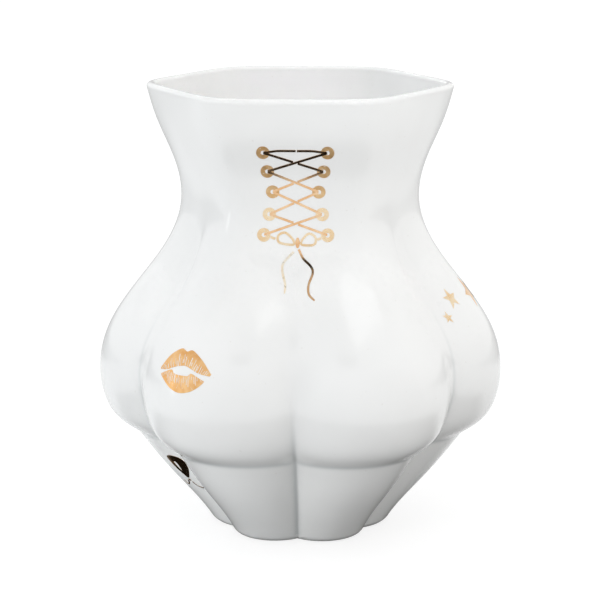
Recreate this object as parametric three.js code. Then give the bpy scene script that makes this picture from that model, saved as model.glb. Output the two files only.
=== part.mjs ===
// A porcelain vase. Three pairs of rounded hips stand back to back in a ring, their thighs run
// in to a small foot, and their waists flare out again to a six-sided mouth. The shell is one
// slip-cast piece. The decoration is gold film on its glaze: a laced corset front with a bow,
// a pair of kissing lips, three stars and a garter bow.
import * as THREE from "three";

// ---- Driving dimensions, in millimetres. +Z is up, the front is -Y, and the origin is the
// ---- middle of the foot, on the surface that the vase stands on.
const HEIGHT = 240; // foot to the top of the lip
const WALL = 4.5; // thickness of the cast wall, square to its surface
const LOBES = 6; // one for each hip
const CREASE_Z = 53; // level of the fold between hip and thigh
const CORNER_SHARPNESS = 12; // how square the mouth's six corners are

// [height, radius] out to the middle of a thigh, and from the fold up to a corner of the mouth.
const THIGH = [[0, 46.5], [4, 49], [30, 71], [CREASE_Z, 89]];
const TORSO = [
  [CREASE_Z, 89], [59, 98], [70, 105.5], [90, 108], [110, 102.5], [130, 89.5],
  [152, 73], [176, 63.5], [200, 67], [220, 75.5], [HEIGHT, 81.5],
];
// [height, share]: the radius of one lobe's own round, as a share of the radius above.
const ROUNDNESS = [[0, 0.45], [45, 0.415], [90, 0.48], [150, 0.36], [HEIGHT, 0.57]];

// The valleys between lobes are crisp low down, soften higher up, and flatten into the faces of
// the mouth. Each pair is a [low, high] stretch of height, and a softness is the width of a
// valley's rounded bottom as a share of the radius out to a corner.
const CLEFT = { softens: [75, 145], flattens: [85, 165] }; // within a pair of hips
const GROOVE = { softens: [60, 140], flattens: [85, 200] }; // between two pairs
const CRISP = 0.03;
const SOFT = 0.36;

const FOOT_EDGE = 3.5; // rounding under the thighs
const FOOT_WIDTH = 6; // flat, unglazed ring that the vase stands on
const FOOT_RECESS = 2.5; // depth of the hollow inside that ring
const RECESS_SLOPE = 1.5; // how far the wall of that hollow leans in
const FLOOR_Z = 8; // inside floor
const FLOOR_COVE = 12; // rounding between the floor and the inside wall
const WALL_EASE = 5; // the inside wall smooths away folds narrower than this

const FILM_GAP = 0.4; // between the glaze and the gold, which on a real vase touch
const FILM_THICKNESS = 0.3; // fired gold is far thinner: this is the least that can be handled
const SPLIT_GAP = 0.35; // between two pieces of film that meet
const LACE_WIDTH = 1.2;
const CURL_WIDTH = 0.7; // of the garter bow's two thin ends

const EYELET_RADIUS = 3.4;
const EYELET_HOLE = 1.15;
const EYELET_ROWS = [[16.2, 212.2], [14.2, 202.1], [11.7, 191.2], [13.4, 179.5], [16.2, 169.1]];
// Which way the upper lace runs at each crossing, from the top: down to the right or the left.
const UPPER_LACE_GOES_RIGHT = [false, true, true, false];
// The lace between the two top eyelets starts a little above their middles, bows upwards, and
// has a break a little to the right of the middle.
const TOP_LACE_START = 0.5;
const TOP_LACE_RISE = 1;
const TOP_LACE_BREAK = 0.6;
const TOP_LACE_GAP = 0.6;

const LIPS_FACING = THREE.MathUtils.degToRad(-32);
const STARS_FACING = THREE.MathUtils.degToRad(72);
const STAR_ARMS = 5;
const STAR_WAIST = 0.42; // inner corners of a star, as a share of its arms
const GARTER_FACING = THREE.MathUtils.degToRad(-70);

// ---- How finely the surfaces are divided ----
const COLUMNS = 60; // points round each ring of the body
const LOBE_STEP = (2 * Math.PI) / LOBES;
const THIGH_RINGS = 6;
const HIP_START_RINGS = 6; // close together, where the hips swell out over the fold
const HIP_START_END = 77; // the height where those rings end
const TORSO_RINGS = 24;
const INSIDE_RINGS = 18;
const FOOT_EDGE_ANGLES = [35, 65]; // degrees round the edge under the thighs
const ROUND_STEP = 30; // degrees between rings round the lip and the cove
const RIBBON_STEP = 3; // longest straight run along a ribbon
const LOOP_STEP = 1.5; // longest straight run round a loop
const CUT_OUT_SEGMENTS = 8; // straight runs along each curve of a cut-out outline
const LIP_LINES = 5; // lines of points across a lip
const LIP_STEPS = 16; // straight runs along a lip
const GARTER_STEPS = 24; // straight runs round the garter's loop
const PASSES = 20; // corrections that bring a point on the glaze to rest
const NEARBY = 0.2; // distance to the points that show how the glaze slopes

const porcelain = new THREE.MeshStandardMaterial({ color: 0xf3f3f1, roughness: 0.12, metalness: 0 });
const gold = new THREE.MeshStandardMaterial({ color: 0xdfa45f, roughness: 0.25, metalness: 1 });

// ---- Curves ----

// A smooth curve through [at, value] points, straight at both of its ends.
function smoothCurve(points) {
  const last = points.length - 1;
  const bend = new Array(last + 1).fill(0); // the curve's second derivative at each point
  const carry = new Array(last + 1).fill(0);
  for (let i = 1; i < last; i++) {
    const before = points[i][0] - points[i - 1][0];
    const after = points[i + 1][0] - points[i][0];
    const slopeBefore = (points[i][1] - points[i - 1][1]) / before;
    const slopeAfter = (points[i + 1][1] - points[i][1]) / after;
    const pivot = 2 * (before + after) - before * carry[i - 1];
    carry[i] = after / pivot;
    bend[i] = (6 * (slopeAfter - slopeBefore) - before * bend[i - 1]) / pivot;
  }
  for (let i = last - 1; i > 0; i--) bend[i] -= carry[i] * bend[i + 1];

  return (at) => {
    let i = 1;
    while (i < last && at > points[i][0]) i++;
    const span = points[i][0] - points[i - 1][0];
    const end = (at - points[i - 1][0]) / span;
    const start = 1 - end;
    const bulge = (start ** 3 - start) * bend[i - 1] + (end ** 3 - end) * bend[i];
    return start * points[i - 1][1] + end * points[i][1] + (bulge * span ** 2) / 6;
  };
}

const thighRadius = smoothCurve(THIGH);
const torsoRadius = smoothCurve(TORSO);
const roundness = smoothCurve(ROUNDNESS);

// The larger of two values, with the change from one to the other rounded over `width`.
function softMax(a, b, width) {
  const overlap = Math.max(width - Math.abs(a - b), 0) / width;
  return Math.max(a, b) + (overlap ** 3 * width) / 6;
}

// ---- The outside of the body, as a radius at each azimuth (from the front, towards +X) ----

function lobedRadius(fromValley, softness, round, crest) {
  const centre = crest - round;
  const reach = (angle) => {
    const across = Math.max(round ** 2 - (centre * Math.sin(angle)) ** 2, 0);
    return centre * Math.cos(angle) + Math.sqrt(across);
  };
  const near = reach(LOBE_STEP / 2 - fromValley);
  const far = reach(LOBE_STEP / 2 + fromValley);
  return softMax(near, far, softness * crest);
}

function sixSidedRadius(azimuth, crest) {
  let sum = 0;
  for (let face = 0; face < LOBES; face++) {
    sum += Math.max(0, Math.cos(azimuth - face * LOBE_STEP)) ** CORNER_SHARPNESS;
  }
  const atCorner = 2 * Math.cos(LOBE_STEP / 2) ** CORNER_SHARPNESS;
  return crest * (atCorner / sum) ** (1 / CORNER_SHARPNESS);
}

function outerRadius(azimuth, z) {
  const crest = z < CREASE_Z ? thighRadius(z) : torsoRadius(z);
  const nearest = Math.round(azimuth / LOBE_STEP);
  const valley = nearest % 2 === 0 ? CLEFT : GROOVE;
  const softened = THREE.MathUtils.smootherstep(z, ...valley.softens);
  const softness = THREE.MathUtils.lerp(CRISP, SOFT, softened);
  const fromValley = Math.abs(azimuth - nearest * LOBE_STEP);
  const lobed = lobedRadius(fromValley, softness, roundness(z) * crest, crest);
  const flattened = THREE.MathUtils.smootherstep(z, ...valley.flattens);
  return THREE.MathUtils.lerp(lobed, sixSidedRadius(azimuth, crest), flattened);
}

// The inside follows the outside one wall in, measured square to the wall.
function innerRadius(azimuth, z) {
  const radius = outerRadius(azimuth, z);
  const turn = WALL_EASE / radius;
  const climb = outerRadius(azimuth, z + WALL_EASE) - outerRadius(azimuth, z - WALL_EASE);
  const swing = outerRadius(azimuth + turn, z) - outerRadius(azimuth - turn, z);
  return radius - WALL * Math.hypot(1, climb / (2 * WALL_EASE), swing / (2 * WALL_EASE));
}

function pointAt(azimuth, radius, z) {
  return new THREE.Vector3(radius * Math.sin(azimuth), -radius * Math.cos(azimuth), z);
}

// ---- The body ----

function ring(radiusAt, z) {
  const azimuths = Array.from({ length: COLUMNS }, (_, column) => (column * 2 * Math.PI) / COLUMNS);
  return azimuths.map((azimuth) => pointAt(azimuth, radiusAt(azimuth), z));
}

// Rings of a wall at even heights from `start` towards `end`, with none at `end` itself.
function wallRings(radiusAt, start, end, steps) {
  const heights = Array.from({ length: steps }, (_, step) => start + ((end - start) * step) / steps);
  return heights.map((z) => ring((azimuth) => radiusAt(azimuth, z), z));
}

function footRings() {
  const edge = (azimuth) => outerRadius(azimuth, 0) - FOOT_EDGE;
  const rings = [
    [new THREE.Vector3(0, 0, FOOT_RECESS)],
    ring((azimuth) => edge(azimuth) - FOOT_WIDTH - RECESS_SLOPE, FOOT_RECESS),
    ring((azimuth) => edge(azimuth) - FOOT_WIDTH, 0),
    ring(edge, 0),
  ];
  for (const degrees of FOOT_EDGE_ANGLES) {
    const angle = THREE.MathUtils.degToRad(degrees);
    const z = FOOT_EDGE * (1 - Math.cos(angle));
    const inset = FOOT_EDGE * (1 - Math.sin(angle));
    rings.push(ring((azimuth) => outerRadius(azimuth, z) - inset, z));
  }
  return rings;
}

// The lip is a half round from the outside wall over to the inside wall.
function lipRings(springing) {
  const rings = [];
  for (let degrees = 0; degrees < 180; degrees += ROUND_STEP) {
    const angle = THREE.MathUtils.degToRad(degrees);
    const radiusAt = (azimuth) => {
      const outer = outerRadius(azimuth, springing);
      const inner = innerRadius(azimuth, springing);
      return (outer + inner) / 2 + ((outer - inner) / 2) * Math.cos(angle);
    };
    rings.push(ring(radiusAt, springing + (HEIGHT - springing) * Math.sin(angle)));
  }
  return rings;
}

// The cove at the foot of the inside wall, and the middle of the floor.
function floorRings() {
  const wallEnd = FLOOR_Z + FLOOR_COVE;
  const rings = [];
  for (let degrees = 0; degrees <= 90; degrees += ROUND_STEP) {
    const angle = THREE.MathUtils.degToRad(degrees);
    const inset = FLOOR_COVE * (1 - Math.cos(angle));
    const z = wallEnd - FLOOR_COVE * Math.sin(angle);
    rings.push(ring((azimuth) => innerRadius(azimuth, wallEnd) - inset, z));
  }
  rings.push([new THREE.Vector3(0, 0, FLOOR_Z)]);
  return rings;
}

// A closed skin over a row of rings, each a full ring or a single point on the axis.
function skin(rings) {
  const positions = rings.flat().flatMap((point) => point.toArray());
  const triangles = [];
  let start = 0;
  for (let i = 0; i + 1 < rings.length; i++) {
    const next = start + rings[i].length;
    for (let j = 0; j < COLUMNS; j++) {
      const k = (j + 1) % COLUMNS;
      const [low, lowNext] = [start + (j % rings[i].length), start + (k % rings[i].length)];
      const [high, highNext] = [next + (j % rings[i + 1].length), next + (k % rings[i + 1].length)];
      if (low !== lowNext) triangles.push(low, lowNext, highNext);
      if (high !== highNext) triangles.push(low, highNext, high);
    }
    start = next;
  }
  return meshGeometry(positions, triangles);
}

function meshGeometry(positions, triangles) {
  const geometry = new THREE.BufferGeometry();
  geometry.setAttribute("position", new THREE.Float32BufferAttribute(positions, 3));
  geometry.setIndex(triangles);
  geometry.computeVertexNormals();
  return geometry;
}

function porcelainBody() {
  const springing = HEIGHT - WALL / 2;
  const rings = [
    ...footRings(),
    ...wallRings(outerRadius, FOOT_EDGE, CREASE_Z, THIGH_RINGS),
    ...wallRings(outerRadius, CREASE_Z, HIP_START_END, HIP_START_RINGS),
    ...wallRings(outerRadius, HIP_START_END, springing, TORSO_RINGS),
    ...lipRings(springing),
    ...wallRings(innerRadius, springing, FLOOR_Z + FLOOR_COVE, INSIDE_RINGS),
    ...floorRings(),
  ];
  return new THREE.Mesh(skin(rings), porcelain);
}

// ---- Gold film ----

// The azimuth where the glaze lies `side` to the right of the line of sight of `facing`.
function azimuthOf(facing, side, z) {
  let azimuth = facing;
  for (let pass = 0; pass < PASSES; pass++) {
    azimuth = facing + Math.asin(side / outerRadius(azimuth, z));
  }
  return azimuth;
}

// The point `lift` above the glaze, `side` to the right as seen from `facing`, at height z.
function onGlaze(facing, side, z, lift) {
  const azimuth = azimuthOf(facing, side, z);
  const at = (turn, rise) => pointAt(azimuth + turn, outerRadius(azimuth + turn, z + rise), z + rise);
  const turn = NEARBY / outerRadius(azimuth, z);
  const across = at(turn, 0).sub(at(-turn, 0));
  const up = at(0, NEARBY).sub(at(0, -NEARBY));
  return at(0, 0).add(across.cross(up).setLength(lift));
}

// Film from lines of [side, height] points, each with the same number of points. The film fills
// the space between neighbouring lines. Facing along a line, the next one lies to its right.
// `closed` lines run round to their own start.
function film(facing, lines, closed = false) {
  const across = lines.length;
  const along = lines[0].length;
  const positions = [FILM_GAP, FILM_GAP + FILM_THICKNESS].flatMap((lift) =>
    lines.flat().flatMap(([side, z]) => onGlaze(facing, side, z, lift).toArray()),
  );
  const at = (layer, line, point) => (layer * across + line) * along + (point % along);
  const triangles = [];
  const quad = (a, b, c, d) => triangles.push(a, c, b, a, d, c);
  const edge = across - 1;
  const end = along - 1;
  for (let j = 0; j < (closed ? along : end); j++) {
    for (let i = 0; i < edge; i++) {
      quad(at(1, i, j), at(1, i, j + 1), at(1, i + 1, j + 1), at(1, i + 1, j));
      quad(at(0, i, j), at(0, i + 1, j), at(0, i + 1, j + 1), at(0, i, j + 1));
    }
    quad(at(0, 0, j), at(0, 0, j + 1), at(1, 0, j + 1), at(1, 0, j));
    quad(at(0, edge, j), at(1, edge, j), at(1, edge, j + 1), at(0, edge, j + 1));
  }
  for (let i = 0; i < edge && !closed; i++) {
    quad(at(0, i, 0), at(1, i, 0), at(1, i + 1, 0), at(0, i + 1, 0));
    quad(at(0, i, end), at(0, i + 1, end), at(1, i + 1, end), at(1, i, end));
  }
  return new THREE.Mesh(meshGeometry(positions, triangles), gold);
}

// Film of one width along a smooth path of [side, height] points.
function ribbon(facing, path, closed = false, width = LACE_WIDTH) {
  const curve = new THREE.CatmullRomCurve3(
    path.map(([side, z]) => new THREE.Vector3(side, z, 0)),
    closed,
  );
  const longestStep = closed ? LOOP_STEP : RIBBON_STEP;
  const steps = Math.max(2, Math.ceil(curve.getLength() / longestStep));
  const stations = Array.from({ length: closed ? steps : steps + 1 }, (_, i) => i / steps);
  const sides = [1, -1].map((sign) =>
    stations.map((station) => {
      const { x: side, y: z } = curve.getPointAt(station);
      const direction = curve.getTangentAt(station);
      const offset = (sign * width) / 2;
      return [side - direction.y * offset, z + direction.x * offset];
    }),
  );
  return film(facing, sides, closed);
}

// Film cut from a flat outline, laid round the point [side, height].
function cutOut(facing, [side, z], outline) {
  const geometry = new THREE.ExtrudeGeometry(outline, {
    depth: FILM_THICKNESS,
    bevelEnabled: false,
    curveSegments: CUT_OUT_SEGMENTS,
  });
  const points = geometry.getAttribute("position");
  for (let i = 0; i < points.count; i++) {
    const lift = FILM_GAP + points.getZ(i);
    const placed = onGlaze(facing, side + points.getX(i), z + points.getY(i), lift);
    points.setXYZ(i, placed.x, placed.y, placed.z);
  }
  geometry.computeVertexNormals();
  return new THREE.Mesh(geometry, gold);
}

function oval(acrossRadius, uprightRadius) {
  return new THREE.Shape().absellipse(0, 0, acrossRadius, uprightRadius, 0, 2 * Math.PI);
}

// ---- Corset lacing, seen straight from the front ----

function eyelet() {
  const outline = new THREE.Shape().absarc(0, 0, EYELET_RADIUS, 0, 2 * Math.PI);
  outline.holes.push(new THREE.Path().absarc(0, 0, EYELET_HOLE, 0, 2 * Math.PI, true));
  return outline;
}

// A straight lace from one eyelet's rim to another's, or the stretch of it between two shares.
function laceBetween(from, to, startShare = 0, endShare = 1) {
  const [start, end] = [new THREE.Vector2(...from), new THREE.Vector2(...to)];
  const trim = (EYELET_RADIUS + SPLIT_GAP) / start.distanceTo(end);
  const at = (share) => {
    const along = THREE.MathUtils.lerp(trim, 1 - trim, share);
    return start.clone().lerp(end, along).toArray();
  };
  return ribbon(0, [at(startShare), at(endShare)]);
}

function lacing() {
  const pieces = {};
  const left = EYELET_ROWS.map(([side, z]) => [-side, z]);
  const right = EYELET_ROWS;
  EYELET_ROWS.forEach((_, row) => {
    pieces[`eyelet_left_${row + 1}`] = cutOut(0, left[row], eyelet());
    pieces[`eyelet_right_${row + 1}`] = cutOut(0, right[row], eyelet());
  });

  UPPER_LACE_GOES_RIGHT.forEach((goesRight, row) => {
    const upper = goesRight ? [left[row], right[row + 1]] : [right[row], left[row + 1]];
    const lower = goesRight ? [right[row], left[row + 1]] : [left[row], right[row + 1]];
    pieces[`lace_over_${row + 1}`] = laceBetween(...upper);
    // The lower lace stops short of the upper one on both sides of the crossing.
    const [a, b] = lower.map((end) => new THREE.Vector2(...end));
    const crossing = a.x / (a.x - b.x);
    const halfAngle = Math.atan2(a.y - b.y, Math.abs(a.x - b.x));
    const slant = (LACE_WIDTH / 2) * Math.cos(2 * halfAngle); // of the lower lace's square end
    const clear = (LACE_WIDTH / 2 + SPLIT_GAP + slant) / Math.sin(2 * halfAngle);
    const length = a.distanceTo(b);
    const run = length - 2 * (EYELET_RADIUS + SPLIT_GAP);
    const share = (distance) => (distance - EYELET_RADIUS - SPLIT_GAP) / run;
    const [stop, restart] = [crossing * length - clear, crossing * length + clear];
    pieces[`lace_under_${row + 1}_start`] = laceBetween(...lower, 0, share(stop));
    pieces[`lace_under_${row + 1}_end`] = laceBetween(...lower, share(restart), 1);
  });

  const [reach, topZ] = EYELET_ROWS[0];
  const from = reach - EYELET_RADIUS - SPLIT_GAP;
  const crown = topZ + TOP_LACE_RISE;
  const topLace = (sign) => {
    const start = [sign * from, topZ + TOP_LACE_START];
    const middle = [(sign * from) / 2, crown];
    const end = [TOP_LACE_BREAK + (sign * TOP_LACE_GAP) / 2, crown];
    return ribbon(0, [start, middle, end]);
  };
  pieces.lace_top_left = topLace(-1);
  pieces.lace_top_right = topLace(1);
  return pieces;
}

function bow() {
  const leftLoop = [[-1.2, 166.6], [-5.2, 170.2], [-8.8, 168.8], [-8.2, 165.4], [-1.4, 164.4]];
  const rightLoop = [[3.2, 166.6], [6.6, 169.8], [10, 168], [9.3, 164.5], [3.3, 164.4]];
  const leftTail = [[-0.9, 161], [-5.9, 155.8], [-6.5, 151.8], [-5, 145.8], [-5.2, 141.5]];
  const rightTail = [
    [1.6, 162.2], [4, 157.8], [7.8, 154.2], [8.9, 151], [6.9, 145.5], [7.2, 141.2], [10.1, 138.5],
  ];
  return {
    bow_knot: cutOut(0, [1, 165.3], oval(1.1, 2.6)),
    bow_loop_left: ribbon(0, leftLoop, true),
    bow_loop_right: ribbon(0, rightLoop, true),
    bow_end_left: ribbon(0, [[-12.7, 168], [-10.3, 167.2]]),
    bow_end_right: ribbon(0, [[12.9, 167.6], [11, 166.9]]),
    bow_tail_left: ribbon(0, leftTail),
    bow_tail_right: ribbon(0, rightTail),
  };
}

// ---- Kissing lips, on the left hip of the front pair ----

// One lip fills the space between its upper and its lower outline.
function lip(upper, lower) {
  const [top, bottom] = [upper, lower].map((outline) =>
    new THREE.SplineCurve(outline.map((point) => new THREE.Vector2(...point))).getPoints(LIP_STEPS),
  );
  const lines = Array.from({ length: LIP_LINES }, (_, i) =>
    top.map((point, j) => point.clone().lerp(bottom[j], i / (LIP_LINES - 1)).toArray()),
  );
  return film(LIPS_FACING, lines);
}

function kiss() {
  const top = [
    [-16.4, 103.8], [-10.9, 110.8], [-4.3, 114.9], [-0.5, 114], [3.1, 114.8], [9.9, 110.8], [16, 104.8],
  ];
  const topInner = [
    [-16, 103.2], [-11, 104], [-5.4, 106.2], [0.2, 107.4], [3.8, 106.6], [8.9, 104.8], [15.4, 103.8],
  ];
  const bottomInner = [
    [-15.2, 101.2], [-11.6, 103], [-7.6, 104.4], [-5.2, 102.8], [2.8, 102.8], [5.4, 104.2], [13, 101.2],
  ];
  const bottom = [
    [-14.8, 100.4], [-10.8, 97.6], [-6.5, 95.2], [-0.9, 94], [5.2, 95.2], [9.8, 97.8], [12.6, 100.4],
  ];
  return { kiss_upper_lip: lip(top, topInner), kiss_lower_lip: lip(bottomInner, bottom) };
}

// ---- Stars, on the hip at the right ----

// A star with one arm pointing at `tilt` degrees from straight up, and that arm longer by `trail`.
function star(radius, tilt, trail = 1) {
  const corners = Array.from({ length: 2 * STAR_ARMS }, (_, corner) => {
    const angle = THREE.MathUtils.degToRad(tilt + (180 / STAR_ARMS) * corner);
    const arm = corner === 0 ? radius * trail : radius;
    const reach = corner % 2 === 0 ? arm : radius * STAR_WAIST;
    return new THREE.Vector2(-reach * Math.sin(angle), reach * Math.cos(angle));
  });
  return new THREE.Shape(corners);
}

function stars() {
  return {
    star_large: cutOut(STARS_FACING, [1, 129.4], star(5, 150, 1.15)),
    star_small: cutOut(STARS_FACING, [-8.8, 121.2], star(3.1, -8)),
    star_side: cutOut(STARS_FACING, [24, 129], star(8, 20)),
  };
}

// ---- Garter bow, on the left thigh, beside the groove ----

function garter() {
  const loopOutside = [
    [-2.6, 41], [2.5, 42.6], [6.6, 41.2], [6.4, 36.6], [4, 32], [1.2, 29], [-0.6, 31.4], [-2.6, 36],
  ];
  const loopInside = [
    [0, 38.2], [0.8, 38.8], [1.5, 38.2], [1.6, 36.4], [1.3, 34.6], [0.9, 33.2], [0.6, 34], [0.2, 36],
  ];
  const leftCurl = [[-0.4, 27.4], [-2.2, 25], [-4.4, 24.2], [-5.6, 26.2]];
  const rightCurl = [[1.6, 26.8], [2.8, 24.8], [4.8, 23.9], [6.4, 24.4]];
  const smooth = (outline) => {
    const corners = outline.map(([side, z]) => new THREE.Vector3(side, z, 0));
    const points = new THREE.CatmullRomCurve3(corners, true).getPoints(GARTER_STEPS);
    return points.slice(0, GARTER_STEPS).map((point) => [point.x, point.y]);
  };
  return {
    garter_loop: film(GARTER_FACING, [smooth(loopOutside), smooth(loopInside)], true),
    garter_knot: cutOut(GARTER_FACING, [0.9, 27.8], oval(0.7, 0.7)),
    garter_curl_left: ribbon(GARTER_FACING, leftCurl, false, CURL_WIDTH),
    garter_curl_right: ribbon(GARTER_FACING, rightCurl, false, CURL_WIDTH),
  };
}

// ---- The vase ----

const vase = new THREE.Group();
const pieces = {
  porcelain_body: porcelainBody(),
  ...lacing(),
  ...bow(),
  ...kiss(),
  ...stars(),
  ...garter(),
};
for (const [name, mesh] of Object.entries(pieces)) {
  mesh.name = name;
  vase.add(mesh);
}

export default vase;
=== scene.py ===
"""Looks of a white porcelain vase with fired gold decoration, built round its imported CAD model.

The outline is worked out in millimetres, as in the CAD model, and each mesh is in metres.
+Z is up, the front is -Y, and an azimuth is counted from the front towards +X.
"""

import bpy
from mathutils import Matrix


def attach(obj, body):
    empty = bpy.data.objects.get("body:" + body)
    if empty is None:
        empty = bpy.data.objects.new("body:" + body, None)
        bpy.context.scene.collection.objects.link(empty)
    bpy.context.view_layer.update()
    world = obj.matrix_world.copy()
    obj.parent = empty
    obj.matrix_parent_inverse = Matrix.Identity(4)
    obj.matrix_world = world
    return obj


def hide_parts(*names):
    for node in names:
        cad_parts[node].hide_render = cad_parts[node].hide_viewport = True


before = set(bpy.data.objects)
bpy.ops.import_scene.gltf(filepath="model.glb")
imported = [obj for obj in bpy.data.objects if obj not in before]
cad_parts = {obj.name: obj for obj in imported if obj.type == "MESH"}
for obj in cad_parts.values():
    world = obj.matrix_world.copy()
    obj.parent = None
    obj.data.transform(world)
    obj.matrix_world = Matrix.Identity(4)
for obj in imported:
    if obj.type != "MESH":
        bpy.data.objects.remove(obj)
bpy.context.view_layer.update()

import math

import bpy
import numpy as np
from mathutils import Vector

MM = 0.001

# ---- The vase's own dimensions, in millimetres ----
HEIGHT = 240
WALL = 4.5
LOBES = 6  # one for each hip
LOBE_STEP = 2 * math.pi / LOBES
CREASE_Z = 53  # level of the fold between hip and thigh
CREASE_REACH = 6  # the fold is rounded only this near to the crease
CREASE_SOFTNESS = 2.2
CORNER_SHARPNESS = 12  # how square the mouth's six corners are

# Outlines as [height, radius], and the roundness of a lobe as [height, share of the radius]
THIGH = [[0, 46.5], [4, 49], [30, 71], [CREASE_Z, 89]]
TORSO = [
    [CREASE_Z, 89], [59, 98], [70, 105.5], [90, 108], [110, 102.5], [130, 89.5],
    [152, 73], [176, 63.5], [200, 67], [220, 75.5], [HEIGHT, 81.5],
]
ROUNDNESS = [[0, 0.45], [45, 0.415], [90, 0.48], [150, 0.36], [HEIGHT, 0.57]]

# Heights between which a valley turns from crisp to soft, and from a valley to a flat side
CLEFT_SOFTENS, CLEFT_FLATTENS = (75, 145), (85, 165)  # within a pair of hips
GROOVE_SOFTENS, GROOVE_FLATTENS = (60, 140), (85, 200)  # between two pairs
CRISP, SOFT = 0.03, 0.36

FOOT_EDGE = 3.5  # rounding under the thighs
FOOT_WIDTH = 6  # flat, unglazed ring that the vase stands on
FOOT_RECESS = 2.5  # depth of the hollow inside that ring
RECESS_SLOPE = 1.5  # how far the wall of that hollow leans in
FLOOR_Z = 8  # inside floor
FLOOR_COVE = 12  # rounding between the floor and the inside wall
WALL_EASE = 5  # the inside wall smooths away folds narrower than this

# ---- Painted shade in the valleys and the crease, in millimetres ----
VALLEY_SHADE_WIDTH = 1.6
CREASE_SHADE_WIDTH = 1.5
CREASE_SHADE = 0.8  # how dark the painted shade is in the crease, where 1 is a valley's middle
CLEFT_SHADE_FADES, GROOVE_SHADE_FADES = (50, 95), (60, 150)  # heights

# ---- How finely the surfaces are drawn ----
SECTOR_COLUMNS = 64  # columns across one lobe
VALLEY_CROWDING = 0.8  # 0 spaces them evenly, and near 1 gathers them in the valleys
WALL_ROWS = 300
CREASE_CROWDING, CREASE_ZONE = 5, 4  # how much closer the rows are there, and within what
FOOT_CROWDING, FOOT_ZONE = 1.5, 6
HEIGHT_SAMPLES = 4000
INSIDE_ROWS = 110
RECESS_SHARES = (0.02, 0.25, 0.5, 0.75, 0.92, 0.98)  # rings of the recess, out from its middle
RECESS_CORNER = (0.2, 0.15)  # out and down from the recess's corner to the next ring
FOOT_BEVEL = 0.35  # rounds the foot ring's inner corner
FOOT_FLAT_STARTS, FOOT_FLAT_ENDS = 0.1, 0.2  # how far inside its corners the flat ring is level
FOOT_SHARES = (0.2, 0.5, 0.8)  # rings across the flat
FOOT_EDGE_DEGREES = (10, 22, 34, 46, 58, 70, 80)  # rings round the edge under the thighs
GLAZE_STARTS_DEGREES = 22  # round that edge
LIP_STEP_DEGREES = 12  # between rings round the lip
COVE_STEP_DEGREES = 10  # between rings round the cove
FLOOR_SHARES = (0.75, 0.5, 0.25, 0.02)  # rings of the floor, in towards its middle
PASSES = 20  # corrections that bring a point on the glaze to rest
NEARBY = 0.2  # distance to the points that show how the glaze slopes

# ---- Gold film, in millimetres ----
FILM_THICKNESS = 0.07
FILM_LIFT = 0.02  # clear of the glaze
LACE_LIFT = 0.06  # a lace lies over the eyelet's ring
KNOT_LIFT = 0.08
FILM_ROOT = 0.12  # how deep the film's back is sunk in the glaze
FILM_STEP = 0.45  # between two points along a ribbon
FILM_SHARP_ANGLE = math.radians(35)
CURVE_SAMPLES = 60  # between two points of a path, before it is cut into even steps
STRAIGHT_SAMPLES = 200  # along a path of two points
FEWEST_STEPS = 4  # along any path
RIBBON_SHARES = (1, 0.34, -0.34, -1)  # lines of points across a ribbon, from left to right
TAPER_LENGTH = 1.5  # of the stretch that narrows at a ribbon's end
FAN_RINGS = 5
FAN_HOLE = 0.02  # the share of its outline that a plain fan leaves open at its middle
LACE_WIDTH = 1.2
CURL_WIDTH = 0.7  # of the garter bow's two thin ends
EYELET_RADIUS = 3.4
EYELET_HOLE = 1.15
EYELET_ROWS = [[16.2, 212.2], [14.2, 202.1], [11.7, 191.2], [13.4, 179.5], [16.2, 169.1]]
UPPER_LACE_GOES_RIGHT = [False, True, True, False]
PALE_FROM_ROW = 3  # eyelets from this row down get the paler copy of the gold, a painted brighter reflection, where the top row is 0
SPLIT_GAP = 0.35  # between two pieces of film that meet
LACE_START = 0.25  # a lace starts this far from the middle of its eyelet
TOP_LACE_RISE = 1
TOP_LACE_SHOULDER = (4, 0.55)  # where it turns level: in from the eyelet, and up
TOP_LACE_BREAK = 0.6  # how far right of the middle its break is
TOP_LACE_GAP = 0.6  # width of that break
LIPS_FACING = math.radians(-32)
LIP_LINES, LIP_POINTS = 34, 230  # across a lip, and along it
STARS_FACING = math.radians(72)
STAR_ARMS = 5
STAR_WAIST = 0.42  # inner corners of a star, as a share of its arms
STAR_SIDE_POINTS = 6
GARTER_FACING = math.radians(-70)
GARTER_LINES, GARTER_POINTS = 7, 60  # from rim to rim, and round the loop

# ---- Wrinkles of the kiss mark, as shares of a lip's length and of its breadth ----
WRINKLES = 27
WRINKLE_ENDS = (0.06, 0.94)  # places of the first and the last
WRINKLE_JITTER = 0.012  # how far one strays from its even place
WRINKLE_LEAN = 0.03
WRINKLE_WIDTHS = (0.003, 0.0065)
WRINKLE_STARTS, WRINKLE_STOPS = (0, 0.25), (0.45, 0.95)  # across, from the mouth
WRINKLE_FADE_IN, WRINKLE_FADE_OUT = 0.15, 0.25
WRINKLE_FAN = 0.1  # how much they splay towards the corners
WRINKLE_DEPTH = 0.22  # millimetres

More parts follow.
